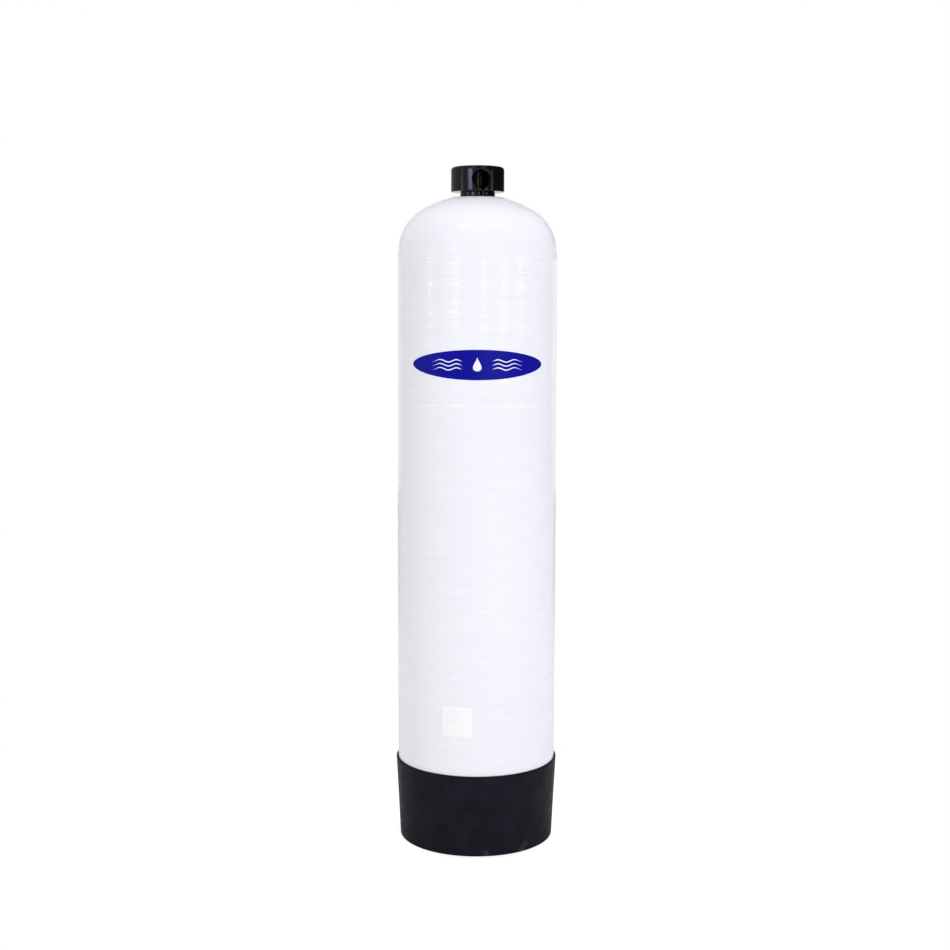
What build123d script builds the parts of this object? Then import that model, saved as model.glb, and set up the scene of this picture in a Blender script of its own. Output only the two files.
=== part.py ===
from build123d import *

import os
from math import asin, atan2, cos, pi, radians, sin, sqrt

# Salt-free water conditioner: a wound pressure tank in a boot, with a screwed in/out head.
# Millimetres. The origin is the centre of the boot's underside, +Z is up, and -Y is the front.

OVERRUN = 1.0  # how far a cutter runs past what it cuts, or a rib into what it joins

# Tank shell
TANK_R = 167.0  # over the hoop winding of the straight part
DOME_R = 165.5  # where the hoop winding has run out, at both tangent lines
KNUCKLE_R = 99.2
CROWN_R = 227.7
LOWER_TANGENT_Z = 127.7
UPPER_TANGENT_Z = 1243.9
HOOP_RUNOUT = 16.0
WINDING_WALL = 3.0
LINER_WALL = 3.5
TANK_TOP_Z = 1352.3

# Threaded neck of the tank, for a 2.5 inch straight thread of 8 turns per inch
NECK_R = 36.0
THREAD_CLEARANCE = 0.35
INSERT_RIM_R = 46.0
INSERT_FLANGE_R = 64.0
INSERT_HUB_R = 43.0
INSERT_FLANGE_DEPTH = 5.2
INSERT_BOTTOM_Z = 1326.0
MOUTH_CHAMFER = 1.5
LINER_LIP_R = 52.0

# Boot
BOOT_FOOT_R = 162.8
BOOT_RIM_R = 171.4
BOOT_RIM_Z = 171.7
BOOT_SOCKET_Z = 145.0
BOOT_SOCKET_CLEARANCE = 0.35
BOOT_WALL = 3.1
BOOT_FOOT_WIDTH = 13.0
BOOT_FLOOR_Z = 4.0
BOOT_FLOOR = 4.0
BOOT_LIP_ROUND = 2.6
BOOT_FOOT_ROUND = 2.5
SEAT_RING_R = 58.0
SEAT_RING_WALL = 6.0
SEAT_RING_TOP_Z = 30.0
BOOT_RIBS = 12
BOOT_RIB_WIDTH = 4.0
RIB_TOP_Z = 132.0
DRAIN_HOLES = 6
DRAIN_R = 7.0
DRAIN_CIRCLE_R = 108.0
DRAIN_TURN = 15.0  # the first hole is midway between two ribs
ADHESIVE = 1.5
DAB_SIZE = (28.0, 20.0)
DAB_CIRCLE_R = 112.0

# Head
HEAD_R = 55.4
HEAD_BOTTOM_Z = 1364.5
HEAD_TOP_Z = 1415.7
HEAD_TOP_ROUND = 7.0
HEAD_BOTTOM_ROUND = 1.5
NECK_BOTTOM_Z = 1332.0
NECK_BOTTOM_CHAMFER = 1.5
CHAMBER_R = 28.0
CHAMBER_TOP_Z = 1404.0
PILOT_R = 19.5
PILOT_BOTTOM_Z = 1326.0
PORT_Z = 1389.0
PORT_R = 20.2
PORT_YAW = 10.0  # the ports' axis is turned this far from the front, towards +X
PORT_CHAMFER = 1.0
INLET_START = 21.0
OUTLET_START = 32.5
BRIDGE_R = 14.5
PASSAGE_R = 11.0

# Seals: a ring's section radius, and the room left round it
RING_GAP = 0.3
NECK_RING_R = 2.65
NECK_RING_OUTER_R = 37.55
RISER_RING_R = 1.75
RISER_RING_GAP = 0.05

# Riser tube and the seat for it in the head
RISER_R = 13.335
RISER_BORE_R = 10.5
RISER_CLEARANCE = 0.3
RISER_TOP_Z = 1364.0
PILOT_STOP_Z = 1366.0
SEAL_SEAT_R = 17.2
SEAL_SEAT_Z = 1338.0
RETAINER_TOP_Z = 1334.3
RETAINER_CLEARANCE = 0.4
RETAINER_NOTCH = 4.0

# Lower basket
BASKET_R = 29.0
BASKET_WALL = 2.2
BASKET_CAP_Z = 18.5
BASKET_CAP = 3.5
BASKET_TOP_Z = 92.0
BASKET_SPIGOT = 4.0
BASKET_FOOT_R = 6.0
BASKET_SLOTS = 24
BASKET_TIERS = 3
BASKET_SLOTS_Z = (29.0, 84.0)
SLOT_WIDTH = 1.4
SLOT_BAR = 3.0
COLLAR_FLANGE = 3.0
COLLAR_TOP_Z = 106.0
COLLAR_NECK_R = 17.5
COLLAR_STOP_Z = 88.0
COLLAR_BOTTOM_Z = 86.0

# Upper screen
SCREEN_FLANGE_R = 33.5
SCREEN_FLANGE = 3.5
SCREEN_TOP_R = 32.0
SCREEN_SPIGOT = 6.0
SCREEN_WALL = 2.2
SCREEN_BOTTOM_R = 18.5
SCREEN_BOTTOM_Z = 1246.0
SCREEN_CLEARANCE = 0.6
SCREEN_SLOTS = 20
SCREEN_TIERS = 3
SCREEN_SLOTS_Z = (1253.5, 1324.5)

# Filling
GRAVEL_TOP_Z = 112.0
MEDIA_TOP_Z = 805.0
BED_GAP = 0.3

# Labels
LABEL_FILM = 0.25
OVAL_HALF_WIDTH = 130.0
OVAL_HALF_HEIGHT = 30.3
OVAL_Z = 1013.7
DATA_LABEL_SIZE = (61.0, 61.7)
DATA_LABEL_X = -39.5
DATA_LABEL_Z = 285.1
DATA_LABEL_ROUND = 3.0


def at(r, z):
    """Point of a half section, at radius r and height z."""
    return Vector(r, 0, z)


def polyline(*points):
    """Straight edges through the section's points."""
    return [Line(at(*a), at(*b)) for a, b in zip(points, points[1:])]


def turned(edges):
    """Solid turned about the tank's axis from the edges of its half section."""
    return revolve(make_face(edges), Axis.Z, 360)


def ring(inner_r, outer_r, bottom_z, top_z):
    """Plain ring or disc about the tank's axis."""
    body = Pos(0, 0, (bottom_z + top_z) / 2) * Cylinder(outer_r, top_z - bottom_z)
    if inner_r > 0:
        body -= Pos(0, 0, (bottom_z + top_z) / 2) * Cylinder(inner_r, top_z - bottom_z)
    return body


def crown_centre(way):
    """Height of the crown's centre: way is 1 for the upper dome and -1 for the lower one."""
    tangent = UPPER_TANGENT_Z if way > 0 else LOWER_TANGENT_Z
    return tangent - way * sqrt((CROWN_R - KNUCKLE_R) ** 2 - (DOME_R - KNUCKLE_R) ** 2)


def crown_z(depth, r, way):
    """Height at radius r of the crown, at a depth inside the outer surface."""
    return crown_centre(way) + way * sqrt((CROWN_R - depth) ** 2 - r**2)


def knuckle_r(depth, z, way):
    """Radius at height z of the knuckle, at a depth inside the outer surface."""
    tangent = UPPER_TANGENT_Z if way > 0 else LOWER_TANGENT_Z
    return DOME_R - KNUCKLE_R + sqrt((KNUCKLE_R - depth) ** 2 - (z - tangent) ** 2)


def dome(depth, way, end_r, start_z=None):
    """Knuckle and crown arcs of a dome, from its tangent line, or start_z, to radius end_r."""
    tangent = UPPER_TANGENT_Z if way > 0 else LOWER_TANGENT_Z
    centre_r = DOME_R - KNUCKLE_R
    knuckle = KNUCKLE_R - depth
    crown = CROWN_R - depth
    join = atan2(centre_r, way * (tangent - crown_centre(way)))
    start = pi / 2 if start_z is None else pi / 2 - asin(way * (start_z - tangent) / knuckle)
    end = asin(end_r / crown)

    def on_knuckle(angle):
        return at(centre_r + knuckle * sin(angle), tangent + way * knuckle * cos(angle))

    def on_crown(angle):
        return at(crown * sin(angle), crown_centre(way) + way * crown * cos(angle))

    return [
        ThreePointArc(on_knuckle(start), on_knuckle((start + join) / 2), on_knuckle(join)),
        ThreePointArc(on_crown(join), on_crown((join + end) / 2), on_crown(end)),
    ]


def tank_envelope():
    """Everything inside the tank's outer surface, up to the flat top of the neck."""
    top_r = sqrt(CROWN_R**2 - (TANK_TOP_Z - crown_centre(1)) ** 2)
    foot_z = crown_z(0, 0, -1)
    return turned(
        dome(0, -1, 0)
        + polyline(
            (DOME_R, LOWER_TANGENT_Z),
            (TANK_R, LOWER_TANGENT_Z + HOOP_RUNOUT),
            (TANK_R, UPPER_TANGENT_Z - HOOP_RUNOUT),
            (DOME_R, UPPER_TANGENT_Z),
        )
        + dome(0, 1, top_r)
        + polyline((top_r, TANK_TOP_Z), (0, TANK_TOP_Z), (0, foot_z))
    )


def make_winding(envelope):
    """Glass-fibre shell: both domes and the hoop-wound wall, with the hole for the insert."""
    wall = WINDING_WALL
    flange_z = crown_z(wall, INSERT_FLANGE_R, 1)
    hollow = turned(
        dome(wall, -1, 0)
        + polyline((DOME_R - wall, LOWER_TANGENT_Z), (DOME_R - wall, UPPER_TANGENT_Z))
        + dome(wall, 1, INSERT_FLANGE_R)
        + polyline(
            (INSERT_FLANGE_R, flange_z),
            (INSERT_RIM_R, flange_z),
            (INSERT_RIM_R, TANK_TOP_Z),
            (0, TANK_TOP_Z),
            (0, crown_z(wall, 0, -1)),
        )
    )
    return envelope - hollow


def make_liner():
    """Blow-moulded bladder, with a lip turned in below the insert's flange."""
    outer = WINDING_WALL
    inner = WINDING_WALL + LINER_WALL
    seat_z = crown_z(outer, INSERT_FLANGE_R, 1) - INSERT_FLANGE_DEPTH
    lip_z = seat_z - LINER_WALL
    lip_r = sqrt((CROWN_R - inner) ** 2 - (lip_z - crown_centre(1)) ** 2)
    return turned(
        dome(outer, -1, 0)
        + polyline((DOME_R - outer, LOWER_TANGENT_Z), (DOME_R - outer, UPPER_TANGENT_Z))
        + dome(outer, 1, INSERT_FLANGE_R)
        + polyline(
            (INSERT_FLANGE_R, crown_z(outer, INSERT_FLANGE_R, 1)),
            (INSERT_FLANGE_R, seat_z),
            (LINER_LIP_R, seat_z),
            (LINER_LIP_R, lip_z),
            (lip_r, lip_z),
        )
        + dome(inner, 1, lip_r)
        + polyline((DOME_R - inner, UPPER_TANGENT_Z), (DOME_R - inner, LOWER_TANGENT_Z))
        + dome(inner, -1, 0)
        + polyline((0, crown_z(inner, 0, -1)), (0, crown_z(outer, 0, -1)))
    )


def make_insert():
    """Threaded neck ring: rim, flange under the winding, and hub down into the tank."""
    bore = NECK_R + THREAD_CLEARANCE
    flange_z = crown_z(WINDING_WALL, INSERT_FLANGE_R, 1)
    seat_z = flange_z - INSERT_FLANGE_DEPTH
    return turned(
        polyline(
            (bore, INSERT_BOTTOM_Z),
            (INSERT_HUB_R, INSERT_BOTTOM_Z),
            (INSERT_HUB_R, seat_z),
            (INSERT_FLANGE_R, seat_z),
            (INSERT_FLANGE_R, flange_z),
            (INSERT_RIM_R, flange_z),
            (INSERT_RIM_R, TANK_TOP_Z),
            (bore + MOUTH_CHAMFER, TANK_TOP_Z),
            (bore, TANK_TOP_Z - MOUTH_CHAMFER),
            (bore, INSERT_BOTTOM_Z),
        )
    )


def lower_dome_body(growth):
    """Lower end of the tank, grown by an even layer outside its surface."""
    top_z = LOWER_TANGENT_Z + HOOP_RUNOUT
    return turned(
        dome(-growth, -1, 0)
        + polyline(
            (DOME_R + growth, LOWER_TANGENT_Z),
            (DOME_R + growth, top_z),
            (0, top_z),
            (0, crown_z(-growth, 0, -1)),
        )
    )


def make_boot():
    """Tapered boot: foot ring, floor, seat ring, wall with a round lip, and radial ribs."""
    floor_top = BOOT_FLOOR_Z + BOOT_FLOOR
    slope = (BOOT_RIM_R - BOOT_FOOT_R) / BOOT_RIM_Z
    socket_r = TANK_R + BOOT_SOCKET_CLEARANCE
    floor_r = BOOT_FOOT_R + slope * floor_top - BOOT_WALL
    foot_inner_r = BOOT_FOOT_R - BOOT_FOOT_WIDTH
    shell = turned(
        polyline(
            (foot_inner_r, 0),
            (BOOT_FOOT_R, 0),
            (BOOT_RIM_R, BOOT_RIM_Z),
            (socket_r, BOOT_RIM_Z),
            (socket_r, BOOT_SOCKET_Z),
            (floor_r, floor_top),
            (SEAT_RING_R - SEAT_RING_WALL, floor_top),
            (SEAT_RING_R - SEAT_RING_WALL, BOOT_FLOOR_Z),
            (foot_inner_r, BOOT_FLOOR_Z),
            (foot_inner_r, 0),
        )
    )
    rim = shell.edges().filter_by(GeomType.CIRCLE).filter_by_position(Axis.Z, BOOT_RIM_Z, BOOT_RIM_Z)
    shell = fillet(rim.sort_by(SortBy.RADIUS)[-1], BOOT_LIP_ROUND)
    foot = shell.edges().filter_by(GeomType.CIRCLE).filter_by_position(Axis.Z, 0, 0)
    shell = fillet(foot.sort_by(SortBy.RADIUS)[-1], BOOT_FOOT_ROUND)

    rib_bottom_z = floor_top - OVERRUN
    cup = turned(
        polyline(
            (0, rib_bottom_z),
            (floor_r + OVERRUN, rib_bottom_z),
            (floor_r + OVERRUN, floor_top),
            (socket_r + OVERRUN, BOOT_SOCKET_Z),
            (0, BOOT_SOCKET_Z),
            (0, rib_bottom_z),
        )
    )
    seat = ring(SEAT_RING_R - SEAT_RING_WALL, SEAT_RING_R, floor_top, SEAT_RING_TOP_Z)
    shell += seat - lower_dome_body(0)
    rib_start_r = SEAT_RING_R - SEAT_RING_WALL / 2
    rib_length = BOOT_RIM_R - rib_start_r
    rib_height = RIB_TOP_Z - rib_bottom_z
    rib_middle = Pos(rib_start_r + rib_length / 2, 0, rib_bottom_z + rib_height / 2)
    rib = rib_middle * Box(rib_length, BOOT_RIB_WIDTH, rib_height)
    rib = (rib & cup) - lower_dome_body(ADHESIVE)
    for turn in range(BOOT_RIBS):
        shell += Rot(0, 0, turn * 360 / BOOT_RIBS) * rib
    for turn in range(DRAIN_HOLES):
        angle = DRAIN_TURN + turn * 360 / DRAIN_HOLES
        hole = ring(0, DRAIN_R, BOOT_FLOOR_Z - OVERRUN, floor_top + OVERRUN)
        shell -= Rot(0, 0, angle) * Pos(DRAIN_CIRCLE_R, 0, 0) * hole
    return shell


def make_adhesive():
    """Dabs between the ribs' tops and the lower dome, one on each rib."""
    layer = lower_dome_body(ADHESIVE) - lower_dome_body(0)
    pad = Pos(DAB_CIRCLE_R, 0, LOWER_TANGENT_Z / 2) * Box(*DAB_SIZE, LOWER_TANGENT_Z)
    dab = pad & layer
    return Compound(
        children=[Rot(0, 0, turn * 360 / BOOT_RIBS) * dab.solid() for turn in range(BOOT_RIBS)]
    )


def port(radius, start, stop, back=False):
    """Cylinder along the ports' axis, from start to stop, towards the front or the back."""
    middle = (start + stop) / 2
    turn = 180 + PORT_YAW if back else PORT_YAW
    return Rot(0, 0, turn) * Pos(0, -middle, PORT_Z) * Rot(90, 0, 0) * Cylinder(radius, stop - start)


def make_head():
    """In/out head: the inlet opens into a chamber round the pilot, and the outlet into the pilot."""
    puck = ring(0, HEAD_R, HEAD_BOTTOM_Z, HEAD_TOP_Z)
    puck = fillet(puck.edges().sort_by(Axis.Z)[-1], HEAD_TOP_ROUND)
    puck = fillet(puck.edges().filter_by(GeomType.CIRCLE).sort_by(Axis.Z)[0], HEAD_BOTTOM_ROUND)
    neck = ring(0, NECK_R, NECK_BOTTOM_Z, HEAD_BOTTOM_Z)
    neck = chamfer(neck.edges().sort_by(Axis.Z)[0], NECK_BOTTOM_CHAMFER)
    head = puck + neck
    seal_r, seal_z = neck_ring_centre()
    seal_room = NECK_RING_R + RING_GAP
    head -= ring(seal_r - seal_room, NECK_R + OVERRUN, seal_z - seal_room, seal_z + seal_room)
    for back, start in ((False, INLET_START), (True, OUTLET_START)):
        head -= port(PORT_R, start, HEAD_R + OVERRUN, back)
    head = chamfer(port_mouths(head), PORT_CHAMFER)
    chamber = ring(PILOT_R, CHAMBER_R, NECK_BOTTOM_Z, CHAMBER_TOP_Z)
    chamber -= port(BRIDGE_R, PILOT_R / 2, OUTLET_START, True)
    head -= chamber
    head += ring(0, PILOT_R, PILOT_BOTTOM_Z, NECK_BOTTOM_Z)
    head -= ring(0, SEAL_SEAT_R, PILOT_BOTTOM_Z, SEAL_SEAT_Z)
    head -= ring(0, RISER_R + RISER_CLEARANCE, SEAL_SEAT_Z, PILOT_STOP_Z)
    head -= ring(0, RISER_BORE_R, PILOT_STOP_Z, PORT_Z)
    head -= Pos(0, 0, PORT_Z) * Sphere(PASSAGE_R)
    head -= port(PASSAGE_R, 0, OUTLET_START, True)
    return head


def port_mouths(head):
    """The two curved edges where the ports break out of the puck's side."""
    return [
        edge
        for edge in head.edges()
        if edge.geom_type not in (GeomType.CIRCLE, GeomType.LINE)
        and edge.bounding_box().size.Z > 2 * PORT_R - OVERRUN
        and edge.center().Z > HEAD_BOTTOM_Z
    ]


def neck_ring_centre():
    """Section centre of the neck seal: it stands a gap off the mouth's chamfer."""
    bore = NECK_R + THREAD_CLEARANCE
    r = NECK_RING_OUTER_R - NECK_RING_R
    z = r - bore + TANK_TOP_Z - MOUTH_CHAMFER + sqrt(2) * (NECK_RING_R + RING_GAP)
    return r, z


def torus(centre_r, z, section_r):
    """Round ring seal."""
    return Pos(0, 0, z) * Torus(centre_r, section_r)


def make_retainer():
    """Ring below the riser seal, with two notches to turn it out by."""
    body = ring(RISER_R + RETAINER_CLEARANCE, SEAL_SEAT_R, PILOT_BOTTOM_Z, RETAINER_TOP_Z)
    notch = Box(3 * SEAL_SEAT_R, RETAINER_NOTCH, RETAINER_NOTCH)
    return body - Pos(0, 0, PILOT_BOTTOM_Z) * notch


def slot_tool(count, tiers, bottom_z, top_z, reach):
    """Radial slots in rows, to be cut from a basket or screen."""
    tall = (top_z - bottom_z - (tiers - 1) * SLOT_BAR) / tiers
    tool = []
    for tier in range(tiers):
        z = bottom_z + tall / 2 + tier * (tall + SLOT_BAR)
        for turn in range(count):
            blade = Pos(reach / 2, 0, z) * Box(reach, SLOT_WIDTH, tall)
            tool.append(Rot(0, 0, turn * 360 / count) * blade)
    return tool


def make_lower_basket():
    """Slotted cylinder between the cap and the collar."""
    body = ring(BASKET_R - BASKET_WALL, BASKET_R, BASKET_CAP_Z + BASKET_CAP, BASKET_TOP_Z)
    return body - slot_tool(BASKET_SLOTS, BASKET_TIERS, *BASKET_SLOTS_Z, BASKET_R + OVERRUN)


def make_basket_cap():
    """Cap with a spigot up into the basket and a foot that stands on the liner."""
    top_z = BASKET_CAP_Z + BASKET_CAP
    body = ring(0, BASKET_R, BASKET_CAP_Z, top_z)
    body += ring(BASKET_R - 2 * BASKET_WALL, BASKET_R - BASKET_WALL, top_z, top_z + BASKET_SPIGOT)
    foot_z = crown_z(WINDING_WALL + LINER_WALL, 0, -1)
    return body + ring(0, BASKET_FOOT_R, foot_z, BASKET_CAP_Z) - liner_hollow_floor()


def liner_hollow_floor():
    """What lies below the inside of the liner's lower dome."""
    depth = WINDING_WALL + LINER_WALL
    block = ring(0, 2 * BASKET_R, 0, 3 * BASKET_CAP_Z)
    inside = turned(
        dome(depth, -1, 0)
        + polyline(
            (DOME_R - depth, LOWER_TANGENT_Z),
            (0, LOWER_TANGENT_Z),
            (0, crown_z(depth, 0, -1)),
        )
    )
    return block - inside


def make_basket_collar():
    """Hub of the basket: spigot, flange, cone, and a socket for the riser with a stop."""
    spigot_r = BASKET_R - BASKET_WALL
    return turned(
        polyline(
            (RISER_BORE_R, COLLAR_BOTTOM_Z),
            (spigot_r, COLLAR_BOTTOM_Z),
            (spigot_r, BASKET_TOP_Z),
            (BASKET_R, BASKET_TOP_Z),
            (BASKET_R, BASKET_TOP_Z + COLLAR_FLANGE),
            (COLLAR_NECK_R, COLLAR_TOP_Z),
            (RISER_R, COLLAR_TOP_Z),
            (RISER_R, COLLAR_STOP_Z),
            (RISER_BORE_R, COLLAR_STOP_Z),
            (RISER_BORE_R, COLLAR_BOTTOM_Z),
        )
    )


def make_upper_screen():
    """Slotted cone: its spigot fits the neck's bore, and its small end slides on the riser."""
    flange_z = NECK_BOTTOM_Z - SCREEN_FLANGE
    bore = RISER_R + SCREEN_CLEARANCE
    floor_z = SCREEN_BOTTOM_Z + SCREEN_FLANGE
    body = turned(
        polyline(
            (bore, SCREEN_BOTTOM_Z),
            (SCREEN_BOTTOM_R, SCREEN_BOTTOM_Z),
            (SCREEN_TOP_R, flange_z),
            (SCREEN_FLANGE_R, flange_z),
            (SCREEN_FLANGE_R, NECK_BOTTOM_Z),
            (CHAMBER_R, NECK_BOTTOM_Z),
            (CHAMBER_R, NECK_BOTTOM_Z + SCREEN_SPIGOT),
            (CHAMBER_R - SCREEN_WALL, NECK_BOTTOM_Z + SCREEN_SPIGOT),
            (CHAMBER_R - SCREEN_WALL, NECK_BOTTOM_Z),
            (SCREEN_TOP_R - SCREEN_WALL, flange_z),
            (SCREEN_BOTTOM_R - SCREEN_WALL, floor_z),
            (bore, floor_z),
            (bore, SCREEN_BOTTOM_Z),
        )
    )
    return body - slot_tool(SCREEN_SLOTS, SCREEN_TIERS, *SCREEN_SLOTS_Z, SCREEN_FLANGE_R + OVERRUN)


def make_gravel():
    """Bed round the lower basket, from the liner's dome to a level top."""
    depth = WINDING_WALL + LINER_WALL + BED_GAP
    start_r = BASKET_R + BED_GAP
    riser_r = RISER_R + BED_GAP
    return turned(
        dome(depth, -1, start_r, GRAVEL_TOP_Z)
        + polyline(
            (start_r, crown_z(depth, start_r, -1)),
            (start_r, BASKET_TOP_Z + COLLAR_FLANGE + BED_GAP),
            (COLLAR_NECK_R + BED_GAP, COLLAR_TOP_Z + BED_GAP),
            (riser_r, COLLAR_TOP_Z + BED_GAP),
            (riser_r, GRAVEL_TOP_Z),
            (knuckle_r(depth, GRAVEL_TOP_Z, -1), GRAVEL_TOP_Z),
        )
    )


def make_media():
    """Bed of conditioning beads on the gravel, with free space above it."""
    depth = WINDING_WALL + LINER_WALL + BED_GAP
    riser_r = RISER_R + BED_GAP
    centre_r = DOME_R - KNUCKLE_R
    low_angle = asin((LOWER_TANGENT_Z - GRAVEL_TOP_Z) / (KNUCKLE_R - depth)) / 2
    middle = at(
        centre_r + (KNUCKLE_R - depth) * cos(low_angle),
        LOWER_TANGENT_Z - (KNUCKLE_R - depth) * sin(low_angle),
    )
    corner = (knuckle_r(depth, GRAVEL_TOP_Z, -1), GRAVEL_TOP_Z)
    return turned(
        [ThreePointArc(at(DOME_R - depth, LOWER_TANGENT_Z), middle, at(*corner))]
        + polyline(
            corner,
            (riser_r, GRAVEL_TOP_Z),
            (riser_r, MEDIA_TOP_Z),
            (DOME_R - depth, MEDIA_TOP_Z),
            (DOME_R - depth, LOWER_TANGENT_Z),
        )
    )


def make_label(outline, x, z):
    """Film on the tank's wall, cut to an outline that is drawn on the front view."""
    film = ring(TANK_R, TANK_R + LABEL_FILM, z - TANK_R, z + TANK_R)
    return film & extrude(Plane.XZ * Pos(x, z) * outline, 2 * TANK_R)


envelope = tank_envelope()
parts = {
    "base_boot": make_boot(),
    "boot_adhesive": make_adhesive(),
    "tank_winding": make_winding(envelope),
    "tank_liner": make_liner(),
    "neck_insert": make_insert(),
    "gravel_bed": make_gravel(),
    "media_bed": make_media(),
    "lower_basket_cap": make_basket_cap(),
    "lower_basket": make_lower_basket(),
    "lower_basket_collar": make_basket_collar(),
    "riser_tube": ring(RISER_BORE_R, RISER_R, COLLAR_STOP_Z, RISER_TOP_Z),
    "head_body": make_head(),
    "neck_o_ring": torus(neck_ring_centre()[0], neck_ring_centre()[1], NECK_RING_R),
    "riser_o_ring": torus(
        RISER_R + RING_GAP + RISER_RING_R, SEAL_SEAT_Z - RISER_RING_R - RISER_RING_GAP, RISER_RING_R
    ),
    "riser_seal_retainer": make_retainer(),
    "upper_screen": make_upper_screen(),
    "oval_label": make_label(Ellipse(OVAL_HALF_WIDTH, OVAL_HALF_HEIGHT), 0, OVAL_Z),
    "data_label": make_label(
        RectangleRounded(*DATA_LABEL_SIZE, DATA_LABEL_ROUND), DATA_LABEL_X, DATA_LABEL_Z
    ),
}

os.makedirs("parts", exist_ok=True)
for name, part in parts.items():
    export_step(part, f"parts/{name}.step")
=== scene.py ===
import random
from math import asin, atan2, cos, degrees, hypot, pi, radians, sin, sqrt

import bpy
from mathutils import Matrix


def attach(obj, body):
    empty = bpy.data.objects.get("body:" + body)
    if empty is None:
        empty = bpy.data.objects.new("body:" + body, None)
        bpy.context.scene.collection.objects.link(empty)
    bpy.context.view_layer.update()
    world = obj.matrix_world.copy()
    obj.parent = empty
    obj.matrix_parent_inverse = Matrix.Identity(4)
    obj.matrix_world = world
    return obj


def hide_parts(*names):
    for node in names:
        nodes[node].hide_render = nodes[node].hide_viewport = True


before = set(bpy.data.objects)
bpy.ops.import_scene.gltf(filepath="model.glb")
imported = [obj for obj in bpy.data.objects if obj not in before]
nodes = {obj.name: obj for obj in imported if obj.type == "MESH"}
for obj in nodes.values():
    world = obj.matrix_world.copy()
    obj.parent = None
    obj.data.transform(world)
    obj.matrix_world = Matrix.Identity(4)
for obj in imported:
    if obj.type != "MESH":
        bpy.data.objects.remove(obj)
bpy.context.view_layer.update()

# Camera. It stands about three metres before the tank, a little lower than the head, and looks
# slightly down, with a hair of roll.
CAMERA_PLACE = (-0.004, -3.185, 1.128)
CAMERA_PITCH = 83.68
CAMERA_ROLL = 0.15
CAMERA_SENSOR = 36.0
CAMERA_LENS = 57.41
camera = bpy.data.objects.new("camera", bpy.data.cameras.new("camera"))
bpy.context.scene.collection.objects.link(camera)
camera.matrix_world = (
    Matrix.Translation(CAMERA_PLACE)
    @ Matrix.Rotation(radians(CAMERA_PITCH), 4, "X")
    @ Matrix.Rotation(radians(CAMERA_ROLL), 4, "Z")
)
camera.data.sensor_width = CAMERA_SENSOR
camera.data.lens = CAMERA_LENS
bpy.context.scene.camera = camera
bpy.context.scene.view_settings.view_transform = "Standard"

# Studio. A white sweep stands behind the tank with a wide card in front of it, the left of the
# room is half lit and the right is dim. The gloss mirrors them and some small soft windows, and
# soft lamps light the tank from the front, the sides and above.
ROOM_LIGHT = 0.71
LEFT_WALL = 0.34
RIGHT_WALL = 0.015
CARD_LIGHT = 0.75
SWEEP_RIGHT = 0.3
SWEEP_EDGE = (0.87, 0.97)
SWEEP_TURN = (0.15, 0.6)
WALL_TURN = (-0.35, 0.3)
CARD_EDGE = (0.62, 0.85)
CARD_FOOT = (-0.31, -0.28)
CARD_TOP = (0.055, 0.068)
WINDOW_INNER = 0.5
WINDOW_OUTER = 1.3
WHITE = (1, 1, 1)
CREAM = (1, 1, 0.95)
COOL_WHITE = (0.95, 0.95, 1)
VIOLET = (0.5, 0.5, 1)
WALL_WINDOWS = (-71, -30.5, 8.1, 38.2, 64.3)


def feed(tree, socket, value):
    """Links a socket to an output, or sets it to a plain value."""
    if isinstance(value, bpy.types.NodeSocket):
        tree.links.new(value, socket)
    else:
        socket.default_value = value


def maths(tree, operation, first, second=0.0, clamp=False):
    """Adds one sum to a tree of nodes, and gives its result."""
    node = tree.nodes.new("ShaderNodeMath")
    node.operation = operation
    node.use_clamp = clamp
    feed(tree, node.inputs[0], first)
    feed(tree, node.inputs[1], second)
    return node.outputs[0]


def remap(tree, value, source, target, shape="LINEAR"):
    """Takes a value from one range to another, and no further."""
    node = tree.nodes.new("ShaderNodeMapRange")
    node.interpolation_type = shape
    for socket, number in zip(node.inputs[1:5], (*source, *target)):
        socket.default_value = number
    feed(tree, node.inputs["Value"], value)
    return node.outputs["Result"]


def crossfade(tree, value, edge, start, end):
    """Goes smoothly from one level to another while a value crosses an edge."""
    return remap(tree, value, edge, (start, end), "SMOOTHSTEP")


def coordinates(tree, kind="Object"):
    """A piece's own coordinates, or with the kind Generated a direction in the studio."""
    return tree.nodes.new("ShaderNodeTexCoord").outputs[kind]


def apart(tree, vector):
    """The X, Y and Z of a vector."""
    node = tree.nodes.new("ShaderNodeSeparateXYZ")
    feed(tree, node.inputs[0], vector)
    return node.outputs


world = bpy.data.worlds.new("studio")
bpy.context.scene.world = world
world.use_nodes = True
tree = world.node_tree
room = tree.nodes["Background"]
room.inputs["Color"].default_value = (*WHITE, 1)
rays = tree.nodes.new("ShaderNodeLightPath").outputs
glossy = rays["Is Glossy Ray"]
way = coordinates(tree, "Generated")
way_x, way_y, way_z = apart(tree, way)
sweep = crossfade(tree, way_y, SWEEP_EDGE, 0, 1)
sweep = maths(tree, "MULTIPLY", sweep, crossfade(tree, way_x, SWEEP_TURN, 1, SWEEP_RIGHT))
walls = crossfade(tree, way_x, WALL_TURN, LEFT_WALL, RIGHT_WALL)
card = crossfade(tree, way_y, CARD_EDGE, 0, CARD_LIGHT)
card = maths(tree, "MULTIPLY", card, crossfade(tree, way_z, CARD_FOOT, 0, 1))
card = maths(tree, "MULTIPLY", card, crossfade(tree, way_z, CARD_TOP, 1, 0))
mirrored = maths(tree, "MAXIMUM", maths(tree, "MAXIMUM", sweep, walls), card)
mirrored = maths(tree, "MULTIPLY", glossy, mirrored)
seen = maths(tree, "ADD", rays["Is Camera Ray"], rays["Is Transmission Ray"], clamp=True)
diffuse = maths(tree, "SUBTRACT", 1, maths(tree, "ADD", seen, glossy, clamp=True))
diffuse = maths(tree, "MULTIPLY", diffuse, ROOM_LIGHT)
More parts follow.
